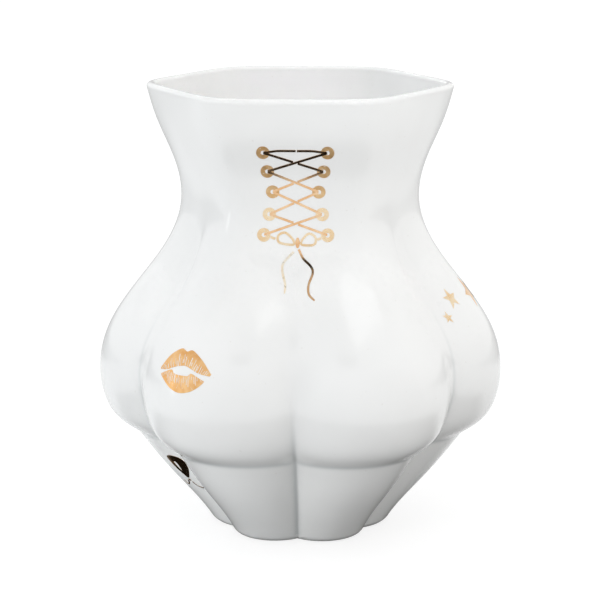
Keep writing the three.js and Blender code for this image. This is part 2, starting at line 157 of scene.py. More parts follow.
# ---- Colours and tones ----
MID_NOISE, WIDE_NOISE = (0.35, 0.65), (0.3, 0.7)  # noise values that are stretched to 0 and 1
GLAZE_DARK, GLAZE_LIGHT = (0.845, 0.845, 0.84, 1), (0.875, 0.875, 0.87, 1)
# Painted shade: the darker white laid into the valleys and the crease
GLAZE_PAINTED_SHADE = (0.70, 0.715, 0.715, 1)
GLAZE_ROUGHNESS = (0.13, 0.2)
SPECK = (0.55, 0.50, 0.44, 1)
SPECK_NOISE, SPECK_STRENGTH = (0.83, 0.87), 0.15
BISQUE_DARK, BISQUE_LIGHT = (0.60, 0.57, 0.52, 1), (0.74, 0.71, 0.66, 1)
BISQUE_ROUGHNESS = (0.75, 0.95)
GOLD_WORN, WORN_METALLIC = (0.86, 0.82, 0.76, 1), 0.15
WORN_NOISE = (0.68, 0.74)
GOLD_ROUGHNESS_SPREAD = (0.75, 1.3)  # shares of a gold's own roughness

# ---- Studio, in metres and degrees ----
MIDDLE = (0, 0, HEIGHT / 2 * MM)
THIGHS = (0, 0, 0.025)
MOUTH = (0, 0, HEIGHT * MM)
CAMERA_TARGET = (0, 0, 0.1223)
CAMERA_PLACE = (2.1, 12.4, 1.208)  # azimuth, elevation and distance from its target
CAMERA_LENS, CAMERA_SENSOR = 134.8, 36  # millimetres
FLOOR_HALF_SIZE = 12.0

# The floor as the camera sees it
FLOOR_GLOW = 0.78
FLOOR_LIT = (0.28, 0.28, 0.28, 1)

# The floor as a reflection shows it: a dark table top in front, and pale surroundings
TABLETOP, SURROUNDINGS = (0.012, 0.010, 0.008, 1), (0.88, 0.88, 0.88, 1)
TABLETOP_ENDS = (0.235, 0.285)  # distance from the vase's axis
TABLETOP_BACK = (0.0, 0.06)
FAR_FLOOR, FAR_FLOOR_STARTS = (0.45, 0.45, 0.45, 1), (0.35, 0.5)

# The light that the floor throws back on to the vase
NEAR_LEFT, NEAR_RIGHT = (0.60, 0.62, 0.63, 1), (0.39, 0.385, 0.38, 1)
NEAR_SIDES = (-0.16, 0.12)
FAR_BOUNCE, FAR_STARTS = (1.03, 1.03, 1.03, 1), (0.16, 0.5)

# The room as a reflection shows it. Each pair is where an edge starts and where it is complete,
# along a direction of length 1: upward, rightward or backward
ROOM_LOW, ROOM_HIGH, ROOM_TURNS = (0.92, 0.92, 0.92, 1), (0.62, 0.62, 0.62, 1), (0.55, 0.75)
ROOM_END, ROOM_END_STARTS = (0.45, 0.45, 0.45, 1), (0.945, 0.975)
GAP = (0.01, 0.01, 0.01, 1)
GAP_BOTTOM, GAP_TOP = (0.600, 0.625), (0.735, 0.710)
GAP_LEFT, GAP_RIGHT = (-0.20, -0.15), (0.15, 0.10)
GAP_BACK = (0.0, -0.1)

# The light that the room throws on the vase
FILL_LEFT, FILL_RIGHT = (0.98, 1.01, 1.035, 1), (1.01, 1.0, 0.98, 1)
BACKDROP = (1, 1, 1, 1)


# ---------------------------------------------------------------- shape of the shell

def smooth_curve(points):
    """A natural cubic spline through [at, value] points."""
    knots, values = np.array(points, float).T
    count = len(knots)
    step = np.diff(knots)
    slope = np.diff(values) / step
    system = np.eye(count)
    load = np.zeros(count)
    for i in range(1, count - 1):
        system[i, i - 1:i + 2] = step[i - 1], 2 * (step[i - 1] + step[i]), step[i]
        load[i] = 6 * (slope[i] - slope[i - 1])
    bend = np.linalg.solve(system, load)

    def value(at):
        at = np.asarray(at, float)
        i = np.clip(np.searchsorted(knots, at) - 1, 0, count - 2)
        end = (at - knots[i]) / step[i]
        start = 1 - end
        bulge = (start**3 - start) * bend[i] + (end**3 - end) * bend[i + 1]
        return start * values[i] + end * values[i + 1] + bulge * step[i] ** 2 / 6

    return value


thigh_radius = smooth_curve(THIGH)
torso_radius = smooth_curve(TORSO)
roundness = smooth_curve(ROUNDNESS)


def smootherstep(z, low, high):
    """0 below `low`, 1 above `high`, and a smooth rise between them."""
    t = np.clip((z - low) / (high - low), 0, 1)
    return t**3 * (t * (6 * t - 15) + 10)


def lerp(a, b, share):
    """From a, at share 0, to b, at share 1."""
    return a + (b - a) * share


def soft_max(a, b, width):
    """The larger of a and b, rounded off where they differ by less than `width`."""
    overlap = np.maximum(width - np.abs(a - b), 0) / width
    return np.maximum(a, b) + overlap**3 * width / 6


def crest_radius(z):
    """Radius out to the middle of a thigh or a hip, or to a corner of the mouth."""
    thigh, torso = thigh_radius(z), torso_radius(z)
    folded = soft_max(thigh, torso, CREASE_SOFTNESS)
    crest = np.where(z < CREASE_Z, thigh, torso)
    return np.where(np.abs(z - CREASE_Z) < CREASE_REACH, folded, crest)


def lobed_radius(from_valley, softness, round_radius, crest):
    """Radius where each lobe is a circle of `round_radius` and two lobes meet in a valley."""
    centre = crest - round_radius

    def reach(angle):
        across = np.maximum(round_radius**2 - (centre * np.sin(angle)) ** 2, 0)
        return centre * np.cos(angle) + np.sqrt(across)

    near, far = reach(LOBE_STEP / 2 - from_valley), reach(LOBE_STEP / 2 + from_valley)
    return soft_max(near, far, softness * crest)


def six_sided_radius(azimuth, crest):
    """Radius of a hexagon with rounded corners, which are on the crests."""
    total = sum(
        np.maximum(0, np.cos(azimuth - face * LOBE_STEP)) ** CORNER_SHARPNESS
        for face in range(LOBES)
    )
    at_corner = 2 * math.cos(LOBE_STEP / 2) ** CORNER_SHARPNESS
    return crest * (at_corner / total) ** (1 / CORNER_SHARPNESS)


def from_nearest_valley(azimuth):
    """The angle to the nearest valley, and whether that valley is a cleft."""
    nearest = np.round(azimuth / LOBE_STEP)
    return np.abs(azimuth - nearest * LOBE_STEP), nearest % 2 == 0


def outer_radius(azimuth, z):
    """Radius of the outside, which turns from six lobes to six flat sides on its way up."""
    azimuth, z = np.broadcast_arrays(np.asarray(azimuth, float), np.asarray(z, float))
    crest = crest_radius(z)
    from_valley, in_cleft = from_nearest_valley(azimuth)
    softened = np.where(
        in_cleft, smootherstep(z, *CLEFT_SOFTENS), smootherstep(z, *GROOVE_SOFTENS)
    )
    flattened = np.where(
        in_cleft, smootherstep(z, *CLEFT_FLATTENS), smootherstep(z, *GROOVE_FLATTENS)
    )
    softness = lerp(CRISP, SOFT, softened)
    lobed = lobed_radius(from_valley, softness, roundness(z) * crest, crest)
    return lerp(lobed, six_sided_radius(azimuth, crest), flattened)


def inner_radius(azimuth, z):
    """Radius of the inside wall, which is WALL from the outside, square to its slope."""
    radius = outer_radius(azimuth, z)
    turn = WALL_EASE / radius
    climb = outer_radius(azimuth, z + WALL_EASE) - outer_radius(azimuth, z - WALL_EASE)
    swing = outer_radius(azimuth + turn, z) - outer_radius(azimuth - turn, z)
    return radius - WALL * np.sqrt(
        1 + (climb / (2 * WALL_EASE)) ** 2 + (swing / (2 * WALL_EASE)) ** 2
    )


def point_at(azimuth, radius, z):
    azimuth, radius, z = np.broadcast_arrays(azimuth, radius, z)
    return np.stack([radius * np.sin(azimuth), -radius * np.cos(azimuth), z], -1)


# ---------------------------------------------------------------- nodes and materials

def node(tree, kind, inputs=None, **settings):
    """A new shader node. An input that is another node's output is linked, any other is set."""
    made = tree.nodes.new(kind)
    for name, value in settings.items():
        setattr(made, name, value)
    for name, value in (inputs or {}).items():
        socket = made.inputs[name]
        if isinstance(value, bpy.types.NodeSocket):
            tree.links.new(value, socket)
        else:
            socket.default_value = value
    return made


def mix_colour(tree, factor, a, b):
    """From colour a, at factor 0, to colour b, at factor 1."""
    # A Mix node has a set of sockets for each type of data, and these are the ones for colour.
    made = node(tree, "ShaderNodeMix", {0: factor, 6: a, 7: b}, data_type="RGBA")
    return made.outputs[2]


def noise(tree, where, scale, detail=2.0):
    made = node(
        tree, "ShaderNodeTexNoise", {"Vector": where, "Scale": scale, "Detail": detail}
    )
    return made.outputs["Fac"]


def spread(tree, value, low, high, to_low=0.0, to_high=1.0):
    """value mapped from low..high to to_low..to_high, and held inside it."""
    made = node(
        tree,
        "ShaderNodeMapRange",
        {"Value": value, "From Min": low, "From Max": high, "To Min": to_low, "To Max": to_high},
    )
    return made.outputs["Result"]


def bump(tree, height, distance, before=None):
    """A surface raised by up to `distance` millimetres, over the bump `before` if there is one."""
    inputs = {"Height": height, "Distance": distance * MM, "Strength": 1.0}
    if before is not None:
        inputs["Normal"] = before
    return node(tree, "ShaderNodeBump", inputs).outputs["Normal"]


def new_material(name):
    """An empty material, its node tree, and the place on the object in metres."""
    material = bpy.data.materials.new(name)
    material.use_nodes = True
    tree = material.node_tree
    tree.nodes.clear()
    where = node(tree, "ShaderNodeTexCoord").outputs["Object"]
    return material, tree, where


def finish_material(tree, **inputs):
    surface = node(tree, "ShaderNodeBsdfPrincipled", inputs)
    node(tree, "ShaderNodeOutputMaterial", {"Surface": surface.outputs["BSDF"]})


def glaze_material():
    """White glaze: a clear glossy coat that waves gently, with painted shade in the folds."""
    material, tree, where = new_material("white_glaze")
    # Painted shade: the white turns darker in the valleys and the crease
    fold_shaded = node(tree, "ShaderNodeAttribute", attribute_name="fold_shade").outputs["Fac"]
    cloud = spread(tree, noise(tree, where, scale=22), *MID_NOISE)
    white = mix_colour(tree, cloud, GLAZE_DARK, GLAZE_LIGHT)
    shaded_white = mix_colour(tree, fold_shaded, white, GLAZE_PAINTED_SHADE)
    specks = spread(tree, noise(tree, where, scale=620, detail=0), *SPECK_NOISE, 0, SPECK_STRENGTH)
    wave = bump(tree, noise(tree, where, scale=26, detail=1), distance=0.5)
    peel = bump(tree, noise(tree, where, scale=420, detail=1), distance=0.006, before=wave)
    finish_material(
        tree,
        **{
            "Base Color": mix_colour(tree, specks, shaded_white, SPECK),
            "Roughness": spread(tree, noise(tree, where, scale=60), *WIDE_NOISE, *GLAZE_ROUGHNESS),
            "IOR": 1.5,
            "Coat Weight": 0.35,
            "Coat Roughness": 0.07,
            "Normal": peel,
        },
    )
    return material


def bisque_material():
    """Bare fired clay, where the foot ring was wiped clean of glaze."""
    material, tree, where = new_material("bare_foot_ring")
    mottle = noise(tree, where, scale=260, detail=6)
    finish_material(
        tree,
        **{
            "Base Color": mix_colour(
                tree, spread(tree, mottle, *MID_NOISE), BISQUE_DARK, BISQUE_LIGHT
            ),
            "Roughness": spread(tree, mottle, *WIDE_NOISE, *BISQUE_ROUGHNESS),
            "Normal": bump(tree, noise(tree, where, scale=1500, detail=4), distance=0.05),
        },
    )
    return material


def gold_material(name, deep, pale, roughness, ripple, worn, metallic=1.0):
    """Fired gold: its tone drifts from deep to pale, it ripples, and it is worn off in flecks."""
    material, tree, where = new_material(name)
    drift = spread(tree, noise(tree, where, scale=180, detail=3), *MID_NOISE)
    wear_starts, wear_ends = WORN_NOISE
    wear = spread(
        tree, noise(tree, where, scale=1300, detail=3), wear_starts - worn, wear_ends - worn
    )
    smoother, rougher = GOLD_ROUGHNESS_SPREAD
    fine = bump(tree, noise(tree, where, scale=1600), distance=0.012)
    finish_material(
        tree,
        **{
            "Base Color": mix_colour(tree, wear, mix_colour(tree, drift, deep, pale), GOLD_WORN),
            "Metallic": spread(tree, wear, 0, 1, metallic, WORN_METALLIC),
            "Roughness": spread(
                tree, noise(tree, where, scale=500, detail=3), *WIDE_NOISE,
                roughness * smoother, roughness * rougher,
            ),
            "Normal": bump(tree, noise(tree, where, scale=210, detail=1), ripple, fine),
        },
    )
    return material


# ---------------------------------------------------------------- meshes

def new_piece(name, points, faces, materials, replaced, face_materials=None):
    """A piece of the vase from points in millimetres, which stands for the CAD node `replaced`."""
    mesh = bpy.data.meshes.new(name)
    mesh.from_pydata((np.asarray(points) * MM).tolist(), [], faces)
    for material in materials:
        mesh.materials.append(material)
    mesh.shade_smooth()
    if face_materials is not None:
        mesh.polygons.foreach_set("material_index", face_materials)
    mesh.validate()
    piece = bpy.data.objects.new(name, mesh)
    bpy.context.scene.collection.objects.link(piece)
    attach(piece, "root")
    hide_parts(replaced)
    return piece


def column_azimuths():
    """Azimuths round the vase, crowded towards the valleys."""
    share = np.linspace(-1, 1, SECTOR_COLUMNS, endpoint=False)
    slowing = 1.5 * share - 0.5 * share**3  # level at both ends, which are valleys
    across = (1 - VALLEY_CROWDING) * share + VALLEY_CROWDING * slowing
    sector = across * LOBE_STEP / 2
    crests = (np.arange(LOBES) + 0.5) * LOBE_STEP
    return (crests[:, None] + sector[None, :]).ravel()


def wall_heights():
    """Heights of the outside rows, crowded at the crease and the foot."""
    fine = np.linspace(FOOT_EDGE, HEIGHT - WALL / 2, HEIGHT_SAMPLES)
    at_crease = np.exp(-(((fine - CREASE_Z) / CREASE_ZONE) ** 2))
    at_foot = np.exp(-(fine - FOOT_EDGE) / FOOT_ZONE)
    crowd = 1 + CREASE_CROWDING * at_crease + FOOT_CROWDING * at_foot
    travelled = np.concatenate([[0], np.cumsum((crowd[1:] + crowd[:-1]) / 2)])
    return np.interp(np.linspace(0, travelled[-1], WALL_ROWS), travelled, fine)


def painted_fold_shade(azimuth, z):
    """How much painted shade darkens the glaze, from 0 to 1, in the valleys and under the hips."""
    from_valley, in_cleft = from_nearest_valley(azimuth)
    distance = from_valley * outer_radius(azimuth, z)
    fades = np.where(
        in_cleft, smootherstep(z, *CLEFT_SHADE_FADES), smootherstep(z, *GROOVE_SHADE_FADES)
    )
    valley = np.exp(-((distance / VALLEY_SHADE_WIDTH) ** 2)) * (1 - fades)
    crease = np.exp(-(((z - CREASE_Z) / CREASE_SHADE_WIDTH) ** 2)) * CREASE_SHADE
    return np.maximum(valley, crease)


def foot_rings(azimuths):
    """The recess, the bare ring that the vase stands on, and the edge under the thighs.

    Each ring is [radius, height, whether the strip up to the next ring is unglazed].
    """
    edge = outer_radius(azimuths, 0) - FOOT_EDGE
    recess = edge - FOOT_WIDTH - RECESS_SLOPE
    corner_out, corner_down = RECESS_CORNER
    rings = [[recess * share, FOOT_RECESS, False] for share in RECESS_SHARES]
    rings += [
        [recess + corner_out, FOOT_RECESS - corner_down, False],
        [recess + RECESS_SLOPE - FOOT_BEVEL, FOOT_BEVEL, True],
        [recess + RECESS_SLOPE + FOOT_FLAT_STARTS, 0.0, True],
    ]
    rings += [[edge - FOOT_WIDTH * (1 - share), 0.0, True] for share in FOOT_SHARES]
    rings.append([edge - FOOT_FLAT_ENDS, 0.0, True])
    for degrees in FOOT_EDGE_DEGREES:
        angle = math.radians(degrees)
        z = FOOT_EDGE * (1 - math.cos(angle))
        inset = FOOT_EDGE * (1 - math.sin(angle))
        rings.append([outer_radius(azimuths, z) - inset, z, degrees < GLAZE_STARTS_DEGREES])
    return rings


def inside_rings(azimuths):
    """The lip, the inside wall, the cove and the floor, each ring as [radius, height]."""
    springing = HEIGHT - WALL / 2
    outer, inner = outer_radius(azimuths, springing), inner_radius(azimuths, springing)
    rings = []
    for degrees in range(LIP_STEP_DEGREES, 180, LIP_STEP_DEGREES):
        angle = math.radians(degrees)
        radius = (outer + inner) / 2 + (outer - inner) / 2 * math.cos(angle)
        rings.append([radius, springing + WALL / 2 * math.sin(angle)])
    wall_end = FLOOR_Z + FLOOR_COVE
    for z in np.linspace(springing, wall_end, INSIDE_ROWS):
        rings.append([inner_radius(azimuths, z), z])
    floor_radius = inner_radius(azimuths, wall_end)
    for degrees in range(COVE_STEP_DEGREES, 90 + 1, COVE_STEP_DEGREES):
        angle = math.radians(degrees)
        inset = FLOOR_COVE * (1 - math.cos(angle))
        rings.append([floor_radius - inset, wall_end - FLOOR_COVE * math.sin(angle)])
    rings += [[(floor_radius - FLOOR_COVE) * share, FLOOR_Z] for share in FLOOR_SHARES]
    return rings


def vase_body():
    """The whole shell as one skin: up the outside, over the lip and down the inside."""
    azimuths = column_azimuths()
    columns = len(azimuths)
    no_fold_shade = np.zeros(columns)
    rings = []
    for radius, z, bare in foot_rings(azimuths):
        rings.append((point_at(azimuths, radius, z), bare, no_fold_shade))
    for z in wall_heights():
        fold_shade = painted_fold_shade(azimuths, z) if z > FOOT_EDGE else no_fold_shade
        rings.append((point_at(azimuths, outer_radius(azimuths, z), z), False, fold_shade))
    for radius, z in inside_rings(azimuths):
        rings.append((point_at(azimuths, radius, z), False, no_fold_shade))

    across = np.arange(columns)
    beside = (across + 1) % columns
    faces, bare_faces = [], []
    for row, (_, bare, _) in enumerate(rings[:-1]):
        low, high = row * columns, (row + 1) * columns
        quads = np.stack([low + across, low + beside, high + beside, high + across], -1)
        faces.extend(quads.tolist())
        bare_faces.extend([int(bare)] * columns)
    faces.append(across[::-1].tolist())
    faces.append((across + (len(rings) - 1) * columns).tolist())
    bare_faces.extend([0, 0])
    body = new_piece(
        "glazed_vase", np.concatenate([ring[0] for ring in rings]), faces,
        [glaze_material(), bisque_material()], "porcelain_body", bare_faces,
    )
    # Painted shade for each point, kept on the mesh for the glaze
    fold_shade_values = np.concatenate([ring[2] for ring in rings]).astype(np.float32)
    attribute = body.data.attributes.new("fold_shade", "FLOAT", "POINT")
    attribute.data.foreach_set("value", fold_shade_values)


# ---------------------------------------------------------------- gold film

def on_glaze(facing, side, z, lift):
    """Points `lift` above the glaze, `side` to the right as seen from `facing`, at height z."""
    side, z = np.asarray(side, float), np.asarray(z, float)
    azimuth = np.full_like(side, facing)
    for _ in range(PASSES):
        azimuth = facing + np.arcsin(side / outer_radius(azimuth, z))

    def at(turn, rise):
        return point_at(azimuth + turn, outer_radius(azimuth + turn, z + rise), z + rise)

    turn = NEARBY / outer_radius(azimuth, z)
    outward = np.cross(at(turn, 0) - at(-turn, 0), at(0, NEARBY) - at(0, -NEARBY))
    outward /= np.linalg.norm(outward, axis=-1, keepdims=True)
    return at(0, 0) + outward * np.asarray(lift, float)[..., None]


def film(node_name, facing, lines, material, closed=False, lift=FILM_LIFT, sink=None):
    """Gold film between neighbouring lines of [side, height] points, standing for a CAD node.

    Facing along the lines, its faces point out if each line lies to the right of the one before,
    and in if it lies to the left. `closed` lines run round to their own start. `sink` lowers the
    film's face at each point, and where that is more than its own thickness the glaze shows
    through.
    """
    lines = np.asarray(lines, float)
    across, along = lines.shape[:2]
    sink = np.zeros((across, along)) if sink is None else sink
    face = on_glaze(facing, lines[..., 0], lines[..., 1], lift + FILM_THICKNESS - sink)
    back = on_glaze(facing, lines[..., 0], lines[..., 1], -FILM_ROOT - sink)
    points = np.concatenate([back.reshape(-1, 3), face.reshape(-1, 3)])

    def at(layer, line, point):
        return (layer * across + line) * along + point % along

    faces = []

    def quad(a, b, c, d):
        faces.append((a, d, c, b))

    edge, end = across - 1, along - 1
    for j in range(along if closed else end):
        for i in range(edge):
            quad(at(1, i, j), at(1, i, j + 1), at(1, i + 1, j + 1), at(1, i + 1, j))
            quad(at(0, i, j), at(0, i + 1, j), at(0, i + 1, j + 1), at(0, i, j + 1))
        quad(at(0, 0, j), at(0, 0, j + 1), at(1, 0, j + 1), at(1, 0, j))
        quad(at(0, edge, j), at(1, edge, j), at(1, edge, j + 1), at(0, edge, j + 1))
    if not closed:
        for i in range(edge):
            quad(at(0, i, 0), at(1, i, 0), at(1, i + 1, 0), at(0, i + 1, 0))
            quad(at(0, i, end), at(0, i + 1, end), at(1, i + 1, end), at(1, i, end))
    piece = new_piece(f"{node_name}_film", points, faces, [material], node_name)
    piece.data.set_sharp_from_angle(angle=FILM_SHARP_ANGLE)


def smooth_path(path, closed=False):
    """Points every FILM_STEP along a smooth curve through the path's points, and its length."""
    path = np.array(path, float)
    if len(path) == 2:
        fine = np.linspace(path[0], path[1], STRAIGHT_SAMPLES)
    else:
        before = np.roll(path, 1, 0) if closed else np.vstack([2 * path[0] - path[1], path[:-1]])
        after = np.roll(path, -1, 0) if closed else np.vstack([path[1:], 2 * path[-1] - path[-2]])
        last = len(path) if closed else len(path) - 1
        fine = []
        for i in range(last):
            p, q = path[i], path[(i + 1) % len(path)]
            tangent_p = (after[i] - before[i]) / 2
            tangent_q = (after[(i + 1) % len(path)] - before[(i + 1) % len(path)]) / 2
            t = np.linspace(0, 1, CURVE_SAMPLES, endpoint=False)[:, None]
            fine.append(
                (2 * t**3 - 3 * t**2 + 1) * p + (t**3 - 2 * t**2 + t) * tangent_p
                + (3 * t**2 - 2 * t**3) * q + (t**3 - t**2) * tangent_q
            )
        fine = np.vstack(fine + [path[:1] if closed else path[-1:]])
    length = np.concatenate([[0], np.cumsum(np.linalg.norm(np.diff(fine, axis=0), axis=1))])
    steps = max(FEWEST_STEPS, round(length[-1] / FILM_STEP))
    count = steps if closed else steps + 1
    stations = np.linspace(0, length[-1], count, endpoint=not closed)
    return np.stack([np.interp(stations, length, fine[:, k]) for k in (0, 1)], -1), length[-1]


def ribbon(
    node_name, facing, path, material, closed=False, lift=FILM_LIFT, width=LACE_WIDTH, taper=0.0
):
    """Film of one width along a path. `taper` is how much narrower its last stretch ends."""
    points, length = smooth_path(path, closed)
    ahead = np.roll(points, -1, 0) - np.roll(points, 1, 0)
    if not closed:
        ahead[0], ahead[-1] = points[1] - points[0], points[-1] - points[-2]
    ahead /= np.linalg.norm(ahead, axis=1, keepdims=True)
    leftward = np.stack([-ahead[:, 1], ahead[:, 0]], -1)
    from_end = (1 - np.linspace(0, 1, len(points))) * length
    half = width / 2 * (1 - taper * np.exp(-from_end / TAPER_LENGTH))
    lines = [points + leftward * (half * share)[:, None] for share in RIBBON_SHARES]
    film(node_name, facing, lines, material, closed, lift)


def fan(node_name, facing, centre, outline, material, hole=FAN_HOLE, lift=FILM_LIFT):
    """Film inside a closed outline round `centre`, out from a hole that is a share of it.

    `outline` runs anticlockwise. Known fault: the lines run clockwise and are listed from the
    hole out, so each lies to the left of the one before, and the faces of the film point in.
    """
    outline = np.array(outline, float)[::-1]
    lines = [np.array(centre) + outline * share for share in np.linspace(hole, 1, FAN_RINGS)]
    film(node_name, facing, lines, material, True, lift)


def circle(radius, upright=None, points=40):
    """Points anticlockwise round a circle, or round an oval whose upright radius is `upright`."""
    angle = np.linspace(0, 2 * math.pi, points, endpoint=False)
    return np.stack([radius * np.cos(angle), (upright or radius) * np.sin(angle)], -1)


def corset_lacing(bright, satin, pale):
    """Ten eyelets, the crossed laces between them, and the lace across the top."""
    left = [np.array([-side, z]) for side, z in EYELET_ROWS]
    right = [np.array([side, z]) for side, z in EYELET_ROWS]
    for row in range(len(EYELET_ROWS)):
        # Painted reflection: the lower eyelets take the paler copy of the gold so they look
        # brighter
        eyelet_gold = satin if row < PALE_FROM_ROW else pale
        for name, centre in (("left", left[row]), ("right", right[row])):
            fan(
                f"eyelet_{name}_{row + 1}", 0, centre, circle(EYELET_RADIUS), eyelet_gold,
                hole=EYELET_HOLE / EYELET_RADIUS,
            )
    for row, goes_right in enumerate(UPPER_LACE_GOES_RIGHT):
        upper = (left[row], right[row + 1]) if goes_right else (right[row], left[row + 1])
        lower = (right[row], left[row + 1]) if goes_right else (left[row], right[row + 1])
        for kind, (a, b) in (("over", upper), ("under", lower)):
            ahead = (b - a) / np.linalg.norm(b - a)
            start, end = a + ahead * LACE_START, b - ahead * LACE_START
            if kind == "over":
                ribbon(f"lace_over_{row + 1}", 0, [start, end], bright, lift=LACE_LIFT)
                continue
            crossing = a + (b - a) * (a[0] / (a[0] - b[0]))
            half_angle = math.atan2(a[1] - b[1], abs(a[0] - b[0]))
            clear = (LACE_WIDTH / 2 + SPLIT_GAP / 2) / math.sin(2 * half_angle)
            stop, restart = crossing - ahead * clear, crossing + ahead * clear
            ribbon(f"lace_under_{row + 1}_start", 0, [start, stop], bright, lift=LACE_LIFT)
            ribbon(f"lace_under_{row + 1}_end", 0, [restart, end], bright, lift=LACE_LIFT)

    reach, top = EYELET_ROWS[0]
    crown = top + TOP_LACE_RISE
    shoulder_in, shoulder_up = TOP_LACE_SHOULDER
    for name, sign in (("left", -1), ("right", 1)):
        path = [
            [sign * (reach - LACE_START), top],
            [sign * (reach - shoulder_in), top + shoulder_up],
            [sign * reach / 2, crown],
            [TOP_LACE_BREAK + sign * TOP_LACE_GAP / 2, crown],
        ]
        ribbon(f"lace_top_{name}", 0, path, bright, lift=LACE_LIFT)


def corset_bow(bright, pale, sheen_lit_gold):
    """The bow below the lacing: its knot, loops, ends and hanging tails."""
    fan("bow_knot", 0, [1, 165.3], circle(1.1, upright=2.6), bright, lift=KNOT_LIFT)
    left_loop = [[-1.2, 166.6], [-5.2, 170.2], [-8.8, 168.8], [-8.2, 165.4], [-1.4, 164.4]]
    right_loop = [[3.2, 166.6], [6.6, 169.8], [10, 168], [9.3, 164.5], [3.3, 164.4]]
    ribbon("bow_loop_left", 0, left_loop, pale, closed=True)
    ribbon("bow_loop_right", 0, right_loop, pale, closed=True)
    ribbon("bow_end_left", 0, [[-12.7, 168], [-10.3, 167.2]], pale)
    ribbon("bow_end_right", 0, [[12.9, 167.6], [11, 166.9]], pale)
    left_tail = [[-0.9, 161], [-5.9, 155.8], [-6.5, 151.8], [-5, 145.8], [-5.2, 141.5]]
    right_tail = [
        [1.6, 162.2], [4, 157.8], [7.8, 154.2], [8.9, 151],
        [6.9, 145.5], [7.2, 141.2], [10.1, 138.5],
    ]
    # The left tail takes the pale copy of the gold, a painted reflection
    ribbon("bow_tail_left", 0, left_tail, sheen_lit_gold, taper=0.5)
    ribbon("bow_tail_right", 0, right_tail, bright, taper=0.4)


def resample(points, count):
    """The same line with `count` points, evenly spaced."""
    at = np.linspace(0, len(points) - 1, count)
    return np.stack([np.interp(at, np.arange(len(points)), points[:, k]) for k in (0, 1)], -1)


def lip(node_name, upper, lower, material, mouth_side, seed):
    """One printed lip. Its wrinkles fan out from `mouth_side`: 1 is its lower edge, 0 its upper."""
    top, bottom = (resample(smooth_path(line)[0], LIP_POINTS) for line in (upper, lower))
    share = np.linspace(0, 1, LIP_LINES)[:, None]
    lines = lerp(top[None], bottom[None], share[..., None])
    from_mouth = np.abs(share - mouth_side)
    draw = np.random.default_rng(seed)
    station = np.linspace(0, 1, LIP_POINTS)[None, :]
    sink = np.zeros((LIP_LINES, LIP_POINTS))
    jitter = draw.uniform(-WRINKLE_JITTER, WRINKLE_JITTER, WRINKLES)
    for at in np.linspace(*WRINKLE_ENDS, WRINKLES) + jitter:
        lean = draw.uniform(-WRINKLE_LEAN, WRINKLE_LEAN)
        width = draw.uniform(*WRINKLE_WIDTHS)
        start = draw.uniform(*WRINKLE_STARTS)
        stop = draw.uniform(*WRINKLE_STOPS)
        splay = lean * from_mouth + (at - 0.5) * WRINKLE_FAN * from_mouth
        begun = smootherstep(from_mouth, start - WRINKLE_FADE_IN, start)
        ended = smootherstep(from_mouth, stop - WRINKLE_FADE_OUT, stop)
        groove = np.exp(-(((station - at - splay) / width) ** 2))
        sink = np.maximum(sink, groove * begun * (1 - ended))
    film(node_name, LIPS_FACING, lines, material, sink=sink * WRINKLE_DEPTH)


def kiss(material):
    """The kiss mark: two lips, each between an upper and a lower edge from left to right."""
    lip(
        "kiss_upper_lip",
        [
            [-16.4, 103.8], [-10.9, 110.8], [-4.3, 114.9], [-0.5, 114],
            [3.1, 114.8], [9.9, 110.8], [16, 104.8],
        ],
        [
            [-16, 103.2], [-11, 104], [-5.4, 106.2], [0.2, 107.4],
            [3.8, 106.6], [8.9, 104.8], [15.4, 103.8],
        ],
        material, mouth_side=1, seed=11,
    )
    lip(
        "kiss_lower_lip",
        [
            [-15.2, 101.2], [-11.6, 103], [-7.6, 104.4], [-5.2, 102.8],
            [2.8, 102.8], [5.4, 104.2], [13, 101.2],
        ],
        [
            [-14.8, 100.4], [-10.8, 97.6], [-6.5, 95.2], [-0.9, 94],
            [5.2, 95.2], [9.8, 97.8], [12.6, 100.4],
        ],
        material, mouth_side=0, seed=12,
    )


def star(node_name, centre, radius, tilt, material, trail=1.0):
    """A star with one arm `tilt` degrees from straight up, and that arm longer by `trail`."""
    corners = []
    for corner in range(2 * STAR_ARMS):
        angle = math.radians(tilt + 180 / STAR_ARMS * corner)
        arm = radius * (trail if corner == 0 else 1)
        reach = arm if corner % 2 == 0 else radius * STAR_WAIST
        corners.append([-reach * math.sin(angle), reach * math.cos(angle)])
    along_side = np.linspace(0, 1, STAR_SIDE_POINTS, endpoint=False)[:, None]
    sides = zip(np.array(corners), np.roll(corners, -1, axis=0))
    outline = np.concatenate([lerp(corner, following, along_side) for corner, following in sides])
    fan(node_name, STARS_FACING, centre, outline, material)


def garter_bow(material):
    """The bow on the left thigh: its loop, its knot and its two curling ends."""
    outside = [
        [-2.6, 41], [2.5, 42.6], [6.6, 41.2], [6.4, 36.6],
        [4, 32], [1.2, 29], [-0.6, 31.4], [-2.6, 36],
    ]
    inside = [
        [0, 38.2], [0.8, 38.8], [1.5, 38.2], [1.6, 36.4],
        [1.3, 34.6], [0.9, 33.2], [0.6, 34], [0.2, 36],
    ]
    rims = [resample(smooth_path(rim, True)[0], GARTER_POINTS) for rim in (outside, inside)]
    lines = [lerp(rims[0], rims[1], share) for share in np.linspace(0, 1, GARTER_LINES)]
    film("garter_loop", GARTER_FACING, lines, material, True)
    fan("garter_knot", GARTER_FACING, [0.9, 27.8], circle(0.7), material)
    curls = {
        "left": [[-0.4, 27.4], [-2.2, 25], [-4.4, 24.2], [-5.6, 26.2]],
        "right": [[1.6, 26.8], [2.8, 24.8], [4.8, 23.9], [6.4, 24.4]],
    }
    for side, path in curls.items():
        name = f"garter_curl_{side}"
        ribbon(name, GARTER_FACING, path, material, width=CURL_WIDTH, taper=0.4)


# ---------------------------------------------------------------- studio

